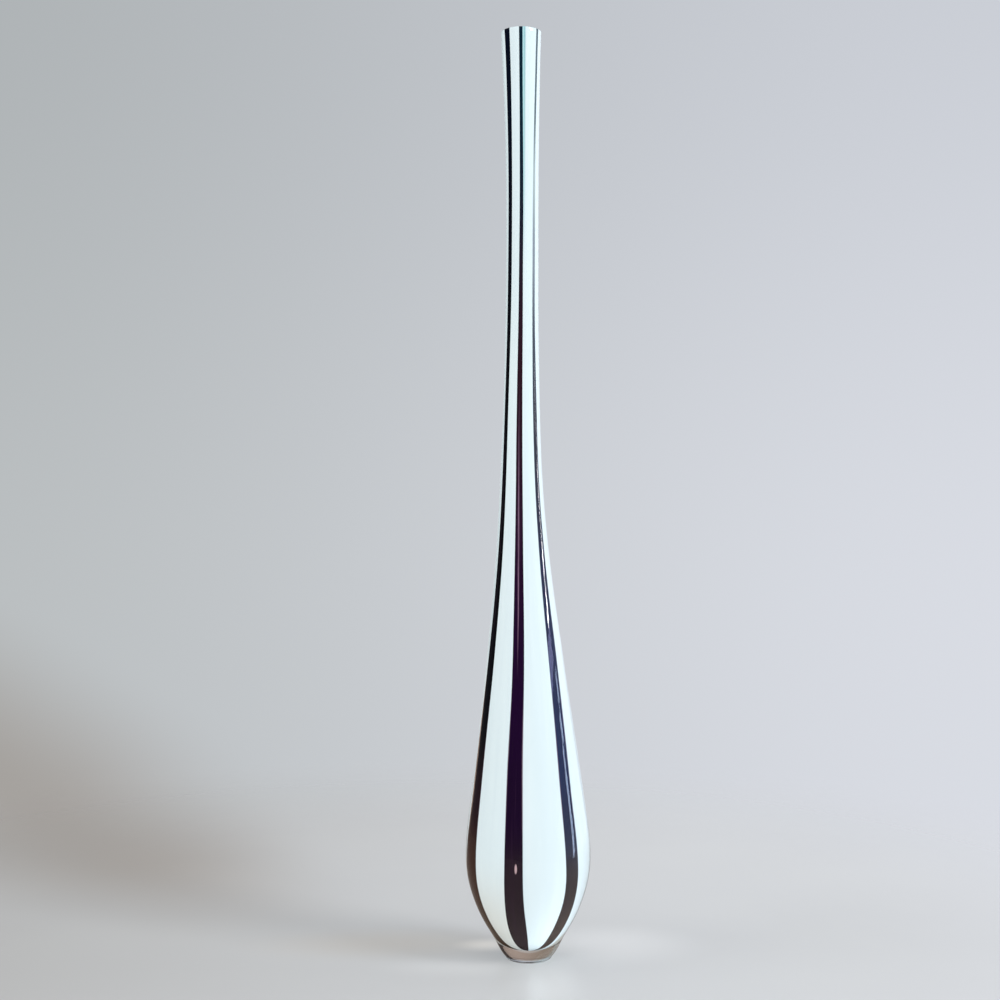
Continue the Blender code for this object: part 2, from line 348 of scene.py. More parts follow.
def casing_profile():
    """The casing's closed outline: cavity from its pole up, crown, outer side, heel, foot and hollow."""
    cavity = colour_profile(lambda z: FUSED_DEPTH, math.pi / 2.0)
    inside = [(0.0, cavity[-1][1])] + list(reversed(cavity[:-1]))
    outer = outline(CROWN_BOTTOM)
    inner = outer - casing_wall(CROWN_BOTTOM) - colour_wall(CROWN_BOTTOM) - FUSED_DEPTH / 2.0
    middle, half = (outer + inner) / 2.0, (outer - inner) / 2.0
    crown = []
    for i in range(CROWN_STEPS + 1):
        angle = math.pi * (1.0 - i / CROWN_STEPS)
        crown.append((middle + half * math.cos(angle), CROWN_BOTTOM + LIP_CROWN * math.sin(angle)))
    outside = [(outline(z), z) for z in wall_heights(CROWN_BOTTOM)[1:]]
    lowest, edge_radius = outline_points()[0]
    drop = BELLY_HEIGHT - lowest
    heel = []
    for i in range(HEEL_RINGS + 1):
        height = BELLY_HEIGHT - drop * i / HEEL_RINGS
        heel.append((outline(height), height))
    foot = []
    for i in range(1, EDGE_RINGS + 1):
        angle = math.pi / 2.0 * (1.0 - i / EDGE_RINGS)
        radius = FOOT_RADIUS + (edge_radius - FOOT_RADIUS) * math.sin(angle)
        foot.append((radius, lowest * (1.0 - math.cos(angle))))
    for i in range(PUNTY_RINGS + 1):
        out = 1.0 - i / PUNTY_RINGS
        foot.append((PUNTY_RADIUS * out, PUNTY_DEPTH * (1.0 - out**2)))
    return inside + crown + outside + heel + foot


# Strip geometry


def colour_share(height):
    """Share of the colour's height that a level has reached."""
    return min(max((height - BASE_THICKNESS) / (CROWN_BOTTOM - BASE_THICKNESS), 0.0), 1.0)


def edge_sway(edge, height):
    """How far a drawn-out edge wanders from its even course, in degrees. Each edge has its own rhythm."""
    share = colour_share(height)
    waves = sum(math.sin(share * pace + edge * shift) * size for pace, shift, size in SWAY_WAVES)
    return waves * (SWAY_AT_POLE + SWAY_GAIN * share)


def stripe_edges(number, height):
    """The angles of a stripe's two edges at a height."""
    share = colour_share(height)
    course = number % len(STRIPE_COURSES)
    middle = STRIPE_ANGLES[number] + stripe_turns[course](share)
    half = stripe_widths[course](share) / 2.0
    left = middle - half + edge_sway(2 * number, height)
    right = middle + half + edge_sway(2 * number + 1, height)
    return left, right


def panel_edges(number, height):
    """The angles of a panel's two edges, which are the facing edges of the stripes beside it."""
    following = (number + 1) % len(STRIPE_ANGLES)
    start = stripe_edges(number, height)[1]
    end = stripe_edges(following, height)[0]
    if following == 0:
        end += 360.0
    return start, end


def strip_rings(edges_at, columns):
    """Closed rings of a strip, from its rounded upper end down. Each point has its share across."""
    pole_angle = math.acos(POLE_RADIUS / (BELLY_RADIUS - CASING_AT_BELLY))
    outer = colour_profile(lambda z: 0.0, pole_angle)
    inner = colour_profile(colour_wall, pole_angle)
    top_outer, top_inner = outer[0][0], inner[0][0]
    middle, half = (top_outer + top_inner) / 2.0, (top_outer - top_inner) / 2.0
    cap = []
    for i in range(CAP_RINGS, 0, -1):
        angle = math.radians(CAP_ANGLE) * i / CAP_RINGS
        height = CROWN_BOTTOM + COLOUR_CROWN * math.sin(angle)
        cap.append(((middle + half * math.cos(angle), height), (middle - half * math.cos(angle), height)))
    rings = []
    for (outer_radius, outer_height), (inner_radius, inner_height) in cap + list(zip(outer, inner)):
        start, end = (math.radians(edge) for edge in edges_at(outer_height))
        shares = [i / columns for i in range(columns + 1)]
        ring = []
        for share in shares:
            angle = start + (end - start) * share
            x = axis_x(outer_height) + outer_radius * math.sin(angle)
            ring.append((x, -outer_radius * math.cos(angle), outer_height, share))
        for share in reversed(shares):
            angle = start + (end - start) * share
            x = axis_x(inner_height) + inner_radius * math.sin(angle)
            ring.append((x, -inner_radius * math.cos(angle), inner_height, share))
        rings.append(ring)
    return rings


def strip_object(name, edges_at, columns, fused, open_air):
    """One strip. Faces against the casing take the fused material, and those in the bore the open one."""
    rings = strip_rings(edges_at, columns)
    count = len(rings[0])
    points = [point[:3] for ring in rings for point in ring]
    across = [point[3] for ring in rings for point in ring]
    along = [colour_share(point[2]) for ring in rings for point in ring]
    faces, slots = [], []
    for level in range(len(rings) - 1):
        upper, lower = level * count, (level + 1) * count
        for i in range(count):
            following = (i + 1) % count
            faces.append((upper + i, upper + following, lower + following, lower + i))
            slots.append(1 if columns < i < count - 1 else 0)
    for base in (0, (len(rings) - 1) * count):
        for i in range(columns):
            faces.append((base + i, base + i + 1, base + count - 2 - i, base + count - 1 - i))
            slots.append(0)
    piece = mesh_object(name, points, faces, [fused, open_air], slots)
    for title, values in (("across", across), ("along", along)):
        layer = piece.data.attributes.new(title, "FLOAT", "POINT")
        layer.data.foreach_set("value", values)
    face_outwards(piece)
    piece.data.shade_smooth()
    piece.data.set_sharp_from_angle(angle=math.radians(SHARP_ANGLE))
    return piece


# Materials


class Nodes:
    """A node tree, with short ways to add the nodes that this scene uses."""

    def __init__(self, tree):
        self.tree = tree

    def node(self, kind, **settings):
        made = self.tree.nodes.new(kind)
        for key, value in settings.items():
            setattr(made, key, value)
        return made

    def link(self, source, target):
        self.tree.links.new(source, target)

    def feed(self, target, value):
        """Sets an input from a number or colour, or links it from another node's output."""
        if isinstance(value, bpy.types.NodeSocket):
            self.link(value, target)
        else:
            target.default_value = value

    def attribute(self, name):
        return self.node("ShaderNodeAttribute", attribute_name=name).outputs["Fac"]

    def place(self, x, y, z):
        made = self.node("ShaderNodeCombineXYZ")
        self.feed(made.inputs[0], x)
        self.feed(made.inputs[1], y)
        self.feed(made.inputs[2], z)
        return made.outputs[0]

    def apart(self, vector):
        made = self.node("ShaderNodeSeparateXYZ")
        self.link(vector, made.inputs[0])
        return made.outputs

    def math(self, operation, first, second=0.0, clamp=False):
        made = self.node("ShaderNodeMath", operation=operation, use_clamp=clamp)
        self.feed(made.inputs[0], first)
        self.feed(made.inputs[1], second)
        return made.outputs[0]

    def plus(self, first, second):
        return self.math("ADD", first, second)

    def minus(self, first, second):
        return self.math("SUBTRACT", first, second)

    def times(self, first, second):
        return self.math("MULTIPLY", first, second)

    def distance(self, value, middle):
        return self.math("ABSOLUTE", self.minus(value, middle))

    def oval(self, values, centre, reach):
        """The square of the distance from a centre, where the reach on each axis counts as one."""
        squares = []
        for value, middle, extent in zip(values, centre, reach):
            off = self.math("DIVIDE", self.minus(value, middle), extent)
            squares.append(self.times(off, off))
        return self.plus(*squares)

    def course(self, first, second, direction):
        """How far a point lies along a direction."""
        return self.plus(self.times(first, direction[0]), self.times(second, direction[1]))

    def ease(self, value, start, end, low=0.0, high=1.0):
        """A smooth step from low at start to high at end."""
        made = self.node("ShaderNodeMapRange", interpolation_type="SMOOTHSTEP")
        self.feed(made.inputs["Value"], value)
        made.inputs["From Min"].default_value = start
        made.inputs["From Max"].default_value = end
        made.inputs["To Min"].default_value = low
        made.inputs["To Max"].default_value = high
        return made.outputs["Result"]

    def mix(self, share, first, second, blend="MIX"):
        made = self.node("ShaderNodeMix", data_type="RGBA", blend_type=blend)
        self.feed(made.inputs[0], share)
        self.feed(made.inputs[6], first)
        self.feed(made.inputs[7], second)
        return made.outputs[2]

    def filtered(self, share, colour, tone):
        """A colour drawn by a share towards its product with a tone."""
        return self.mix(share, colour, self.mix(1.0, colour, tone, "MULTIPLY"))

    def noise(self, vector, scale, detail=3.0, roughness=0.5, distortion=0.0):
        made = self.node("ShaderNodeTexNoise")
        self.link(vector, made.inputs["Vector"])
        made.inputs["Scale"].default_value = scale
        made.inputs["Detail"].default_value = detail
        made.inputs["Roughness"].default_value = roughness
        made.inputs["Distortion"].default_value = distortion
        return made.outputs["Fac"]

    def ramp(self, value, stops):
        made = self.node("ShaderNodeValToRGB")
        self.link(value, made.inputs["Fac"])
        ramp = made.color_ramp
        ramp.interpolation = "EASE"
        while len(ramp.elements) < len(stops):
            ramp.elements.new(0.5)
        for element, (position, colour) in zip(ramp.elements, stops):
            element.position = position
            element.color = (*colour, 1.0)
        return made.outputs["Color"]


class Shading(Nodes):
    """A material's node tree round its main shader."""

    def __init__(self, name):
        self.material = bpy.data.materials.new(name)
        self.material.use_nodes = True
        super().__init__(self.material.node_tree)
        self.shader = self.tree.nodes["Principled BSDF"]
        self.surface = self.tree.nodes["Material Output"].inputs["Surface"]

    def set(self, **inputs):
        for name, value in inputs.items():
            self.feed(self.shader.inputs[name.replace("_", " ")], value)

    def blend(self, share, first, second):
        made = self.node("ShaderNodeMixShader")
        self.link(share, made.inputs[0])
        self.link(first, made.inputs[1])
        self.link(second, made.inputs[2])
        return made.outputs[0]


def glass_for_lamps(shading, tint):
    """Lets light from the lamps and the pale glass pass straight through the clear glass to the colour."""
    clear = shading.node("ShaderNodeBsdfTransparent")
    clear.inputs["Color"].default_value = tint
    path = shading.node("ShaderNodeLightPath")
    shader = shading.shader.outputs[0]
    for ray in ("Is Diffuse Ray", "Is Shadow Ray"):
        shader = shading.blend(path.outputs[ray], shader, clear.outputs[0])
    shading.link(shader, shading.surface)


GLASS_IOR = 1.5
CRYSTAL_TONE = (0.965, 0.98, 0.98, 1.0)
CRYSTAL_SHADE = (0.94, 0.95, 0.95, 1.0)
# Slow waves in the blown surface
WAVE_SCALE = (55.0, 55.0, 9.0)
WAVE_STRENGTH = 0.05
WAVE_HEIGHT = 0.0005
# Painted refraction: the tan and the brown ring stand in for the coloured bowl seen through the clear foot
# The foot is painted tan from its clear rim up to the bowl, whose lower edge curves at the front and is
# level behind
FOOT_REFRACTED_TAN = (0.62, 0.47, 0.37, 1.0)
TAN_TOP_FRONT = 0.0074
TAN_TOP_CURVE = 24.0
TAN_TOP_BACK = 0.012
TAN_TOP_FADE = (-0.0006, 0.0004)
FRONT_TO_BACK = (0.0, 0.004)
CLEAR_RIM = (0.0029, 0.0037)
# A painted brown ring where the tan begins, part of the same painted refraction
FOOT_REFRACTED_RING = (0.38, 0.28, 0.22, 1.0)
RING_HEIGHT = 0.0031
RING_FADE = (0.0002, 0.0006)
# A painted reflection: a line along the bowl's silhouette, brown towards -X and grey towards +X
RIM_REFLECTION_BROWN = (0.42, 0.24, 0.16, 1.0)
RIM_REFLECTION_GREY = (0.30, 0.31, 0.36, 1.0)
EDGE_FACING = (0.78, 0.90)
EDGE_SIDES = (-0.01, 0.01)
EDGE_BOTTOM = (0.006, 0.016)
EDGE_TOP = (0.050, 0.075)


def foot_refraction_tone(shading, x, y, z):
    """The clear glass, with the tan and the ring that one sees in the thick foot, painted in as refraction.
    """
    front_top = shading.plus(shading.times(shading.times(x, x), TAN_TOP_CURVE), TAN_TOP_FRONT)
    over_front = shading.minus(z, front_top)
    over_back = shading.minus(z, TAN_TOP_BACK)
    back = shading.ease(y, *FRONT_TO_BACK)
    over = shading.plus(over_front, shading.times(back, shading.minus(over_back, over_front)))
    refracted_tan_share = shading.times(shading.ease(over, *TAN_TOP_FADE, 1.0, 0.0), shading.ease(z, *CLEAR_RIM))
    tone = shading.mix(refracted_tan_share, CRYSTAL_TONE, FOOT_REFRACTED_TAN)
    refracted_ring_share = shading.ease(shading.distance(z, RING_HEIGHT), *RING_FADE, 1.0, 0.0)
    return shading.mix(refracted_ring_share, tone, FOOT_REFRACTED_RING)


def crystal_material():
    shading = Shading("clear_crystal")
    where = shading.node("ShaderNodeTexCoord").outputs["Object"]
    stretch = shading.node("ShaderNodeMapping")
    shading.link(where, stretch.inputs["Vector"])
    stretch.inputs["Scale"].default_value = WAVE_SCALE
    waves = shading.noise(stretch.outputs[0], 1.0, detail=2.0)
    bump = shading.node("ShaderNodeBump")
    bump.inputs["Strength"].default_value = WAVE_STRENGTH
    bump.inputs["Distance"].default_value = WAVE_HEIGHT
    shading.link(waves, bump.inputs["Height"])
    shading.link(bump.outputs[0], shading.shader.inputs["Normal"])
    x, y, z = shading.apart(where)
    tone = foot_refraction_tone(shading, x, y, z)
    # Painted reflection along the silhouette, where the glass is seen edge on
    weight = shading.node("ShaderNodeLayerWeight")
    weight.inputs["Blend"].default_value = 0.5
    edge = shading.ease(weight.outputs["Facing"], *EDGE_FACING)
    bowl_part = shading.times(shading.ease(z, *EDGE_BOTTOM), shading.ease(z, *EDGE_TOP, 1.0, 0.0))
    rim_reflection_tone = shading.mix(shading.ease(x, *EDGE_SIDES), RIM_REFLECTION_BROWN, RIM_REFLECTION_GREY)
    tone = shading.mix(shading.times(edge, bowl_part), tone, rim_reflection_tone)
    shading.set(Base_Color=tone, Roughness=0.0, IOR=GLASS_IOR, Transmission_Weight=1.0)
    glass_for_lamps(shading, CRYSTAL_SHADE)
    return shading.material


GROUND_TONE = (0.86, 0.88, 0.87, 1.0)
GROUND_SHADE = (0.85, 0.86, 0.86, 1.0)
GRIT_SCALE = 2600.0
GROUND_ROUGHNESS = (0.25, 0.45)


def ground_material():
    shading = Shading("ground_foot_ring")
    where = shading.node("ShaderNodeTexCoord").outputs["Object"]
    grit = shading.noise(where, GRIT_SCALE, detail=2.0)
    rough = shading.ease(grit, 0.3, 0.7, *GROUND_ROUGHNESS)
    shading.set(Base_Color=GROUND_TONE, Roughness=rough, IOR=GLASS_IOR, Transmission_Weight=1.0)
    glass_for_lamps(shading, GROUND_SHADE)
    return shading.material


# No air lies between a strip and the casing, so a strip is matt there and shines only in the bore
FUSED_ROUGHNESS = 0.5
OPAL_BORE_ROUGHNESS = 0.12
AMETHYST_BORE_ROUGHNESS = 0.06


def finish_strip_glass(shading, colour, in_air, bore_roughness):
    shading.set(Base_Color=colour, Roughness=bore_roughness if in_air else FUSED_ROUGHNESS)
    shading.set(Specular_IOR_Level=0.5 if in_air else 0.0)
    return shading.material


OPAL_TONES = ((0.30, (0.775, 0.895, 0.945)), (0.70, (0.80, 0.92, 0.965)))
OPAL_THREAD = (0.86, 0.945, 0.975, 1.0)
OPAL_THIN = (0.42, 0.56, 0.66, 1.0)
OPAL_PAINTED_WARM_LIGHT = (0.80, 0.81, 0.76, 1.0)
PAINTED_TEAL_REFLECTION = (0.30, 0.66, 0.72, 1.0)
PAINTED_TEAL_LINE = (0.20, 0.50, 0.55, 1.0)
OPAL_PAINTED_SHADE = (0.36, 0.40, 0.42, 1.0)


def opal_material(number, in_air):
    """Milky white glass with faint drawn-out clouds, a little bluer beside the stripes."""
    shading = Shading("opal_" + str(number + 1) + ("_bore" if in_air else "_fused"))
    across = shading.attribute("across")
    along = shading.attribute("along")
    cloud_place = shading.place(shading.times(across, 3.0), shading.times(along, 5.0), number)
    cloud = shading.noise(cloud_place, 1.6, detail=3.0, distortion=0.4)
    thread_place = shading.place(shading.times(across, 26.0), shading.times(along, 3.0), number + 0.5)
    thread = shading.noise(thread_place, 1.0, detail=4.0, roughness=0.6)
    colour = shading.ramp(cloud, OPAL_TONES)
    colour = shading.mix(shading.ease(thread, 0.52, 0.75, 0.0, 0.22), colour, OPAL_THREAD)
    # Where the panel thins beside a stripe it lets a little of the dark glass through
    side = shading.math("MINIMUM", across, shading.minus(1.0, across))
    colour = shading.mix(shading.ease(side, 0.0, 0.03, 0.30, 0.0), colour, OPAL_THIN)
    if number == 0:
        # Painted warm light: low down the first panel turns a warmer white
        colour = shading.mix(shading.ease(along, 0.015, 0.11, 0.75, 0.0), colour, OPAL_PAINTED_WARM_LIGHT)
    if number == 1:
        # Painted cyan reflection: towards the lip the second panel is teal at the stripe on its left, and
        # has a teal line beside it
        tinge = shading.times(shading.ease(across, 0.05, 0.12, 0.7, 0.0), shading.ease(along, 0.72, 0.88))
        colour = shading.mix(tinge, colour, PAINTED_TEAL_REFLECTION)
        line = shading.times(shading.ease(across, 0.06, 0.11), shading.ease(across, 0.13, 0.245, 1.0, 0.0))
        line = shading.times(line, shading.ease(along, 0.70, 1.0, 0.0, 0.8))
        colour = shading.mix(line, colour, PAINTED_TEAL_LINE)
    if number == 2:
        # Painted shade: at the neck the third panel greys towards the stripe behind it, where it turns from
        # the light
        limb_shade = shading.times(shading.ease(across, 0.50, 0.64), shading.ease(along, 0.60, 0.72))
        colour = shading.mix(limb_shade, colour, OPAL_PAINTED_SHADE)
    return finish_strip_glass(shading, colour, in_air, OPAL_BORE_ROUGHNESS)


# Each stripe's core colour from the pole up to the lip, by share of the colour's height
# The brown low down is partly the glass's own colour and partly a painted reflection of the warm, shaded
# floor
STRIPE_TONES = (
    (
        (0.00, (0.070, 0.044, 0.030)),
        (0.09, (0.040, 0.016, 0.011)),
        (0.16, (0.012, 0.004, 0.007)),
        (0.24, (0.001, 0.001, 0.002)),
        (0.60, (0.001, 0.001, 0.002)),
        (0.95, (0.000, 0.002, 0.009)),
    ),
    (
        (0.00, (0.028, 0.020, 0.024)),
        (0.08, (0.016, 0.008, 0.015)),
        (0.15, (0.010, 0.002, 0.017)),
        (0.26, (0.011, 0.001, 0.021)),
        (0.62, (0.022, 0.007, 0.015)),
        (0.92, (0.002, 0.018, 0.034)),
    ),
    (
        (0.00, (0.066, 0.050, 0.044)),
        (0.08, (0.038, 0.032, 0.034)),
        (0.14, (0.014, 0.017, 0.040)),
        (0.20, (0.008, 0.013, 0.052)),
        (0.34, (0.012, 0.014, 0.046)),
        (0.56, (0.020, 0.020, 0.024)),
        # Painted reflection: the third stripe's pale grey-blue at the neck is the bright window mirrored in
        # it
        (0.66, (0.060, 0.070, 0.085)),
        (0.76, (0.260, 0.300, 0.340)),
        (0.84, (0.420, 0.500, 0.510)),
        (0.91, (0.110, 0.150, 0.160)),
    ),
)
FIBRE_TONES = ((0.040, 0.028, 0.028), (0.046, 0.018, 0.052), (0.050, 0.044, 0.060))
PAINTED_HEART_GLOW = (0.250, 0.140, 0.230, 1.0)
HEART_MIDDLE = 0.44
FEATHER_TONE = (0.36, 0.24, 0.33, 1.0)
# A painted highlight: a lamp's small glint on the second stripe's glass
GLINT_PLACE = (0.63, 0.0950)
GLINT_REACH = (0.080, 0.0062)
PAINTED_GLINT_TONE = (0.55, 0.38, 0.41, 1.0)


def amethyst_material(number, in_air):
    """Nearly black glass, brown low down and blue-black at the neck, with fine drawn fibres.

    A painted glow of light runs mauve down its middle, and its feathered edges beside the belly are mauve.
    """
    shading = Shading("amethyst_" + str(number + 1) + ("_bore" if in_air else "_fused"))
    across = shading.attribute("across")
    along = shading.attribute("along")
    colour = shading.ramp(along, STRIPE_TONES[number % len(STRIPE_TONES)])
    fibre_place = shading.place(shading.times(across, 9.0), shading.times(along, 6.0), number + 0.25)
    fibre = shading.noise(fibre_place, 1.3, detail=5.0, roughness=0.65, distortion=0.3)
    fibre_tone = (*FIBRE_TONES[number % len(FIBRE_TONES)], 1.0)
    fibre_share = shading.ease(fibre, 0.5, 0.8, 0.0, 0.5)
    if number % len(STRIPE_TONES) == 0:
        # The first stripe is even and black above the belly, and so is the fourth
        fibre_share = shading.times(fibre_share, shading.ease(along, 0.12, 0.26, 1.0, 0.0))
    colour = shading.mix(fibre_share, colour, fibre_tone)
    # Painted light: a mauve glow down the middle shows between the shoulder and the lower neck
    sway = shading.ease(fibre, 0.3, 0.7, -0.05, 0.05)
    heart = shading.ease(shading.distance(shading.plus(across, sway), HEART_MIDDLE), 0.01, 0.085, 1.0, 0.0)
    rising = shading.ease(along, 0.29, 0.38)
    falling = shading.ease(along, 0.50, 0.62, 1.0, 0.0)
    reach = shading.times(shading.times(rising, falling), heart)
    weight = 0.85 if number == 1 else 0.06
    colour = shading.mix(shading.times(reach, weight), colour, PAINTED_HEART_GLOW)
    # Feathered edges beside the belly
    side = shading.math("MINIMUM", across, shading.minus(1.0, across))
    ragged = shading.plus(side, shading.ease(fibre, 0.3, 0.8, -0.03, 0.05))
    feather = shading.ease(ragged, 0.0, 0.07, 1.0, 0.0)
    beside_belly = shading.times(shading.ease(along, 0.11, 0.16), shading.ease(along, 0.24, 0.30, 1.0, 0.0))
    feather = shading.times(feather, beside_belly)
    colour = shading.mix(shading.times(feather, 0.6), colour, FEATHER_TONE)
    if number == 1:
        # Painted highlight: the lamp's glint low on the second stripe
        glint = shading.ease(shading.oval((across, along), GLINT_PLACE, GLINT_REACH), 0.3, 1.0, 1.0, 0.0)
        colour = shading.mix(glint, colour, PAINTED_GLINT_TONE)
    return finish_strip_glass(shading, colour, in_air, AMETHYST_BORE_ROUGHNESS)


# The vase


def make_casing():
    points, faces = turned_mesh(casing_profile(), CASING_SEGMENTS)
    casing = mesh_object("casing_crystal", points, faces, [crystal_material(), ground_material()])
    face_outwards(casing)
    for face in casing.data.polygons:
        if all(abs(points[i][2]) < TOUCHING for i in face.vertices):
            face.material_index = 1
    casing.data.shade_smooth()
    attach(casing, "root")
    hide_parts("clear_casing")


def make_strips():
    for number in range(len(STRIPE_ANGLES)):
        place = str(number + 1)
        stripe = strip_object(
            "stripe_" + place + "_glass",
            lambda height, n=number: stripe_edges(n, height),
            STRIPE_COLUMNS,
            amethyst_material(number, False),
            amethyst_material(number, True),
        )
        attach(stripe, "root")
        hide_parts("amethyst_stripe_" + place)
        panel = strip_object(
            "panel_" + place + "_glass",
            lambda height, n=number: panel_edges(n, height),
            PANEL_COLUMNS,
            opal_material(number, False),
            opal_material(number, True),
        )
        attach(panel, "root")
        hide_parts("opal_panel_" + place)


# The floor

FLOOR_CENTRE = (-0.10, 0.05)
FLOOR_RADIUS = 1.2
FLOOR_SIDES = 64
FLOOR_ROUGHNESS = 0.38
# It fades out between these distances from its centre
FLOOR_FADE = (0.24, 0.60)
# Its tone from left to right
FLOOR_LEFT = (0.480, 0.480, 0.477, 1.0)
FLOOR_RIGHT = (0.660, 0.675, 0.695, 1.0)
FLOOR_SPREAD = (-0.42, 0.16)
MOTTLE_TONE = (1.05, 1.05, 1.04, 1.0)
MOTTLE_SCALE = 9.0
FAR_FLOOR = (1.055, 1.055, 1.055, 1.0)
FAR_FLOOR_START = (-0.02, 0.22)
# The glass mirrors it darker and warmer, as the room's far side shades it there
FLOOR_MIRRORED = (0.45, 0.36, 0.30, 1.0)
# A painted shadow: the warm, darker band that sweeps from the vase to the left and back, on the floor and on
# up the backdrop
BAND_START = (-0.118, 0.020)
BAND_COURSE = (-0.584, 0.811)
BAND_SIDE = (BAND_COURSE[1], -BAND_COURSE[0])
BAND_HALF_WIDTH = 0.06
BAND_WIDENING = 0.36
BAND_FADE = (0.0, 0.26)
PAINTED_SHADOW_BAND = (0.72, 0.66, 0.61, 1.0)
# Patches of light that the glass gathers on the floor round the foot, and a warm one in its shade
FLOOR_PATCHES = (
    ((-0.020, 0.024), (0.026, 0.016), (1.42, 1.38, 1.33, 1.0)),
    ((0.042, 0.022), (0.066, 0.048), (1.22, 1.215, 1.21, 1.0)),
    ((0.007, -0.046), (0.024, 0.060), (1.15, 1.15, 1.15, 1.0)),
    ((-0.030, -0.014), (0.060, 0.026), (1.13, 1.13, 1.125, 1.0)),
    ((-0.075, 0.028), (0.100, 0.040), (1.00, 0.955, 0.90, 1.0)),
)


def floor_colour(shading, where, x, y):
    colour = shading.mix(shading.ease(x, *FLOOR_SPREAD), FLOOR_LEFT, FLOOR_RIGHT)
    mottle = shading.ease(shading.noise(where, MOTTLE_SCALE, detail=3.0), 0.3, 0.7, 0.0, 0.35)
    colour = shading.filtered(mottle, colour, MOTTLE_TONE)
    # Painted shadow along the band
    band_x = shading.minus(x, BAND_START[0])
    band_y = shading.minus(y, BAND_START[1])
    ahead = shading.course(band_x, band_y, BAND_COURSE)
    beside = shading.math("ABSOLUTE", shading.course(band_x, band_y, BAND_SIDE))
    half_width = shading.plus(BAND_HALF_WIDTH, shading.times(ahead, BAND_WIDENING))
    nearness = shading.ease(shading.math("DIVIDE", beside, half_width), 1.0, 0.0)
    colour = shading.filtered(shading.times(nearness, shading.ease(ahead, *BAND_FADE)), colour, PAINTED_SHADOW_BAND)
    colour = shading.filtered(shading.ease(y, *FAR_FLOOR_START), colour, FAR_FLOOR)
    for centre, reach, tone in FLOOR_PATCHES:
        distance = shading.math("SQRT", shading.oval((x, y), centre, reach))
        colour = shading.filtered(shading.ease(distance, 0.05, 1.0, 1.0, 0.0), colour, tone)
    path = shading.node("ShaderNodeLightPath").outputs
    mirrored = shading.math("SUBTRACT", path["Is Glossy Ray"], path["Is Transmission Ray"], clamp=True)
    return shading.filtered(mirrored, colour, FLOOR_MIRRORED)


def make_floor():
    """A satin floor that fades into the backdrop at some distance from the vase."""
    points = [(*FLOOR_CENTRE, 0.0)]
    for k in range(FLOOR_SIDES):
        angle = math.tau * k / FLOOR_SIDES
        x = FLOOR_CENTRE[0] + FLOOR_RADIUS * math.cos(angle)
        y = FLOOR_CENTRE[1] + FLOOR_RADIUS * math.sin(angle)
        points.append((x, y, 0.0))
    faces = [(0, 1 + k, 1 + (k + 1) % FLOOR_SIDES) for k in range(FLOOR_SIDES)]
    shading = Shading("studio_floor")
    where = shading.node("ShaderNodeTexCoord").outputs["Object"]
    x, y = shading.apart(where)[:2]
    shading.set(Base_Color=floor_colour(shading, where, x, y), Roughness=FLOOR_ROUGHNESS)
    from_centre = shading.math("SQRT", shading.oval((x, y), FLOOR_CENTRE, (1.0, 1.0)))
    clear = shading.node("ShaderNodeBsdfTransparent").outputs[0]
    faded = shading.blend(shading.ease(from_centre, *FLOOR_FADE), shading.shader.outputs[0], clear)
    shading.link(faded, shading.surface)
    floor = mesh_object("studio_floor", points, faces, [shading.material])


# The world, where east is +X, north is +Y and each direction has a length of one

ROOM_LIGHT = (0.79, 0.795, 0.80, 1.0)
BACKDROP_LEFT = (0.485, 0.510, 0.520, 1.0)
BACKDROP_RIGHT = (0.695, 0.718, 0.775, 1.0)
BACKDROP_SPREAD = (-0.42, 0.36)
BACKDROP_HIGH = (0.855, 0.862, 0.868, 1.0)
BACKDROP_RISE = (-0.08, 0.36)
# A painted shadow: it darkens into a warm corner low on the left, along a line that falls to the right
BACKDROP_PAINTED_SHADOW = (0.76, 0.69, 0.64, 1.0)
CORNER_PLACE = (-0.31, -0.17)
CORNER_COURSE = (0.84, -0.54)
CORNER_SIDE = (0.54, 0.84)
CORNER_WIDTH = (0.10, 0.0)
CORNER_FADE = (0.20, 0.03)
# The studio that the glass mirrors, which is dim at the sides and cool towards the window
STUDIO_FLOOR = (0.26, 0.21, 0.19, 1.0)
STUDIO_DIM = (0.05, 0.05, 0.06, 1.0)
STUDIO_CEILING = (0.40, 0.41, 0.42, 1.0)
STUDIO_WINDOW = (0.45, 0.55, 0.85, 1.0)
STUDIO_WALL = (0.90, 0.91, 0.96, 1.0)
WALL_COURSE = (0.643, 0.766)
# Low down, a warm thing behind on the left and a dim one behind on the right edge the belly
LOW_THINGS = (-0.02, -0.10)
WARM_THING = (1.00, 0.74, 0.58, 1.0)
WARM_COURSE = (-0.342, 0.940)
DIM_THING = (0.26, 0.24, 0.30, 1.0)
DIM_COURSE = (0.342, 0.940)


def backdrop_colour(nodes, east, up):
    colour = nodes.mix(nodes.ease(east, *BACKDROP_SPREAD), BACKDROP_LEFT, BACKDROP_RIGHT)
    colour = nodes.filtered(nodes.ease(up, *BACKDROP_RISE), colour, BACKDROP_HIGH)
    # Painted shadow low on the left
    aside = nodes.minus(east, CORNER_PLACE[0])
    raised = nodes.minus(up, CORNER_PLACE[1])
    along_line = nodes.course(aside, raised, CORNER_COURSE)
    off_line = nodes.math("ABSOLUTE", nodes.course(aside, raised, CORNER_SIDE))
    corner_shadow = nodes.times(nodes.ease(off_line, *CORNER_WIDTH), nodes.ease(along_line, *CORNER_FADE))
    return nodes.filtered(corner_shadow, colour, BACKDROP_PAINTED_SHADOW)


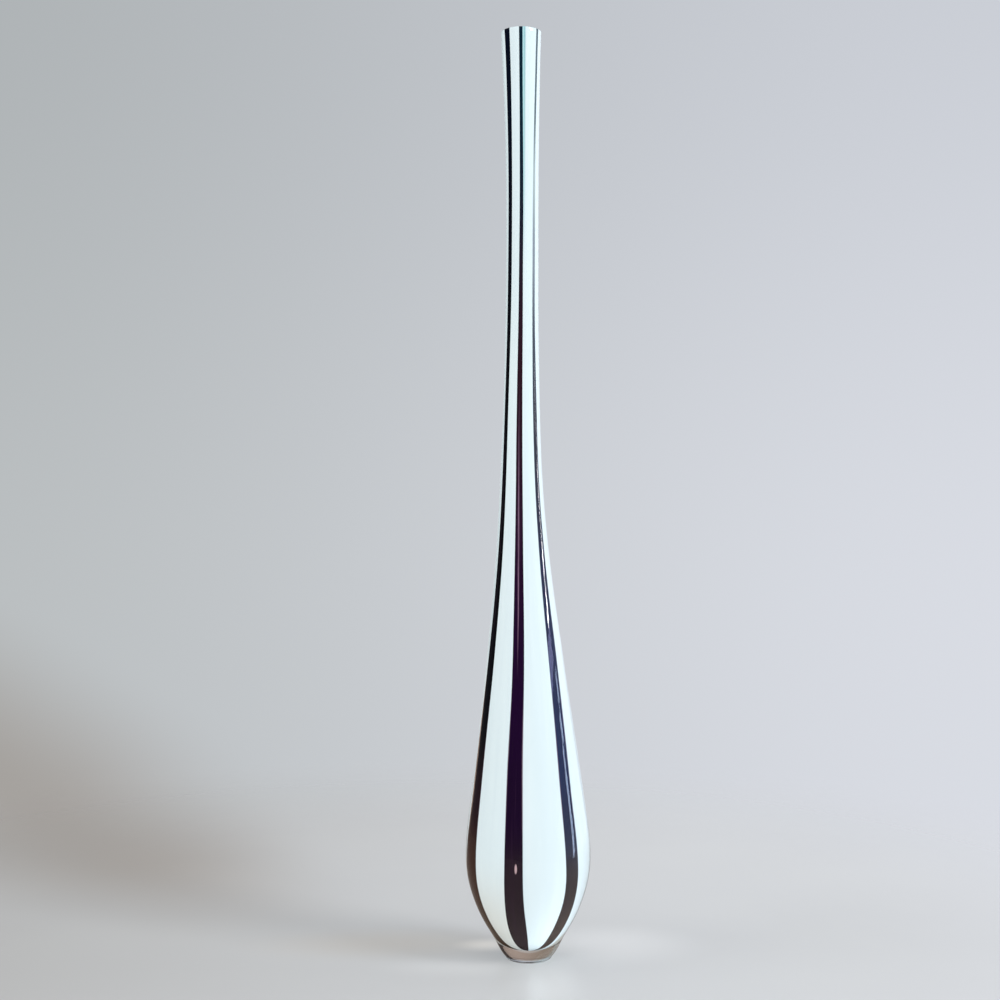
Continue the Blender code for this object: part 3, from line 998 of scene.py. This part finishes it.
def studio_colour(nodes, east, north, up, backdrop):
    colour = nodes.mix(nodes.ease(up, -0.35, 0.0), STUDIO_FLOOR, STUDIO_DIM)
    colour = nodes.mix(nodes.ease(up, 0.25, 0.8), colour, STUDIO_CEILING)
    colour = nodes.mix(nodes.ease(east, 0.75, 0.98), colour, STUDIO_WINDOW)
    colour = nodes.mix(nodes.ease(nodes.course(east, north, WALL_COURSE), 0.84, 0.91), colour, STUDIO_WALL)
    low = nodes.ease(up, *LOW_THINGS)
    warm = nodes.ease(nodes.course(east, north, WARM_COURSE), 0.955, 0.980)
    colour = nodes.mix(nodes.times(warm, low), colour, WARM_THING)
    dim = nodes.ease(nodes.course(east, north, DIM_COURSE), 0.965, 0.985)
    colour = nodes.mix(nodes.times(dim, low), colour, DIM_THING)
    # The backdrop reaches a little further round on the left
    behind = nodes.plus(north, nodes.times(nodes.ease(east, 0.0, -0.3), 0.03))
    return nodes.mix(nodes.ease(behind, 0.88, 0.97), colour, backdrop)


def make_world():
    """The pale backdrop for the camera, the studio in what the glass mirrors, and an even light."""
    world = bpy.data.worlds.new("studio")
    bpy.context.scene.world = world
    world.use_nodes = True
    nodes = Nodes(world.node_tree)
    nodes.tree.nodes.clear()
    east, north, up = nodes.apart(nodes.node("ShaderNodeTexCoord").outputs["Generated"])
    backdrop = backdrop_colour(nodes, east, up)
    studio = studio_colour(nodes, east, north, up, backdrop)
    path = nodes.node("ShaderNodeLightPath").outputs
    seen = nodes.math("MAXIMUM", path["Is Camera Ray"], path["Is Transmission Ray"])
    colour = nodes.mix(path["Is Glossy Ray"], ROOM_LIGHT, studio)
    background = nodes.node("ShaderNodeBackground")
    nodes.link(nodes.mix(seen, colour, backdrop), background.inputs["Color"])
    output = nodes.node("ShaderNodeOutputWorld")
    nodes.link(background.outputs[0], output.inputs["Surface"])


# The lamps, each with its radiance

WHITE = (1.0, 1.0, 1.0)
STREAK_BLUE = (0.60, 0.74, 1.0)
LINE_WHITE = (1.0, 0.97, 1.0)
UPPER_TARGET = 0.16
LOWER_TARGET = 0.03
# Azimuth, elevation and distance from the axis, width and height, radiance and colour, the level that the
# lamp is turned to, and whether the glass mirrors it
LAMPS = {
    "key": (61.0, 35.0, 2.0, 0.60, 0.60, 11.2, (1.0, 1.0, 0.99), UPPER_TARGET, True),
    "fill": (-75.0, 14.0, 2.0, 1.2, 0.8, 2.6, WHITE, UPPER_TARGET, False),
    "low_card": (20.0, 2.0, 1.0, 1.0, 0.10, 4.5, WHITE, LOWER_TARGET, False),
    "warm_card": (-55.0, 3.0, 1.0, 0.8, 0.12, 4.0, (1.0, 0.76, 0.54), LOWER_TARGET, False),
}
# The window's bright parts, which the casing mirrors as a streak, a haze, a spark and a line on the third
# stripe: left and right azimuth, lower and upper level, radiance and colour
WINDOW_DISTANCE = 1.6
WINDOW_PARTS = {
    "streak_low": (88.2, 93.2, -0.25, 0.165, 7.6, STREAK_BLUE),
    "streak_middle": (91.0, 96.2, 0.165, 0.215, 7.6, STREAK_BLUE),
    "streak_high": (94.0, 99.5, 0.215, 0.252, 6.0, STREAK_BLUE),
    "haze": (75.0, 93.0, 0.275, 0.342, 3.4, (0.52, 0.55, 1.0)),
    "spark": (87.5, 94.5, 0.345, 0.364, 34.0, (1.0, 0.99, 0.98)),
    "line_low": (93.0, 99.5, 0.364, 0.378, 24.0, LINE_WHITE),
    "line_middle": (97.0, 102.5, 0.378, 0.392, 10.0, LINE_WHITE),
    "line_high": (101.5, 107.0, 0.388, 0.410, 4.0, (0.97, 0.96, 1.0)),
    "faint": (88.0, 98.0, 0.412, 0.480, 1.6, (0.95, 0.95, 1.0)),
}
# Lit patches flat on the floor, which light the bowl's underside as the pale floor does: place, width and
# depth, radiance and colour
GLOW_HEIGHT = 0.0006
FLOOR_GLOWS = {
    "glow": ((0.030, -0.036), 0.064, 0.052, 1.0, WHITE),
    "warm_glow": ((-0.050, -0.012), 0.036, 0.050, 0.2, (1.0, 0.66, 0.42)),
}


def make_lamp(name, width, height, radiance, colour, mirrored):
    """A rectangular lamp that the camera doesn't see."""
    light = bpy.data.lights.new(name, "AREA")
    light.shape = "RECTANGLE"
    light.size = width
    light.size_y = height
    light.energy = radiance * math.pi * width * height
    light.color = colour
    lamp = bpy.data.objects.new(name, light)
    bpy.context.scene.collection.objects.link(lamp)
    lamp.visible_camera = False
    lamp.visible_glossy = mirrored
    lamp.visible_transmission = mirrored
    return lamp


def aim_lamp(lamp, azimuth, elevation, distance, target):
    """Sets a lamp at a distance from a level on the vase's axis, and turns it there."""
    turn = math.radians(azimuth)
    rise = math.radians(elevation)
    ahead = math.cos(rise)
    towards = Vector((math.sin(turn) * ahead, -math.cos(turn) * ahead, math.sin(rise)))
    lamp.location = Vector((0.0, 0.0, target)) + towards * distance
    lamp.rotation_euler = towards.to_track_quat("Z", "Y").to_euler()


def make_lamps():
    for name, settings in LAMPS.items():
        azimuth, elevation, distance, width, height, radiance, colour, target, mirrored = settings
        lamp = make_lamp(name, width, height, radiance, colour, mirrored)
        aim_lamp(lamp, azimuth, elevation, distance, target)
    for name, (left, right, bottom, top, radiance, colour) in WINDOW_PARTS.items():
        width = math.radians(right - left) * WINDOW_DISTANCE
        lamp = make_lamp(name, width, top - bottom, radiance, colour, True)
        aim_lamp(lamp, (left + right) / 2.0, 0.0, WINDOW_DISTANCE, (bottom + top) / 2.0)
    for name, (place, width, depth, radiance, colour) in FLOOR_GLOWS.items():
        lamp = make_lamp(name, width, depth, radiance, colour, False)
        lamp.location = (*place, GLOW_HEIGHT)
        lamp.rotation_euler = (math.pi, 0.0, 0.0)


# The camera

LENS = 55.0
SENSOR_WIDTH = 36.0
NEAR_LIMIT = 0.01
CAMERA_PLACE = (-0.01348, -0.8254, 0.24717)
CAMERA_ROLL = -0.4826


def make_camera():
    data = bpy.data.cameras.new("camera")
    data.lens = LENS
    data.sensor_width = SENSOR_WIDTH
    data.clip_start = NEAR_LIMIT
    camera = bpy.data.objects.new("camera", data)
    bpy.context.scene.collection.objects.link(camera)
    roll = Matrix.Rotation(math.radians(CAMERA_ROLL), 4, "Z")
    level = Matrix.Rotation(math.radians(90.0), 4, "X")
    camera.matrix_world = Matrix.Translation(CAMERA_PLACE) @ level @ roll
    bpy.context.scene.camera = camera


make_casing()
make_strips()
make_floor()
make_world()
make_lamps()
make_camera()
bpy.context.scene.view_settings.view_transform = "Standard"
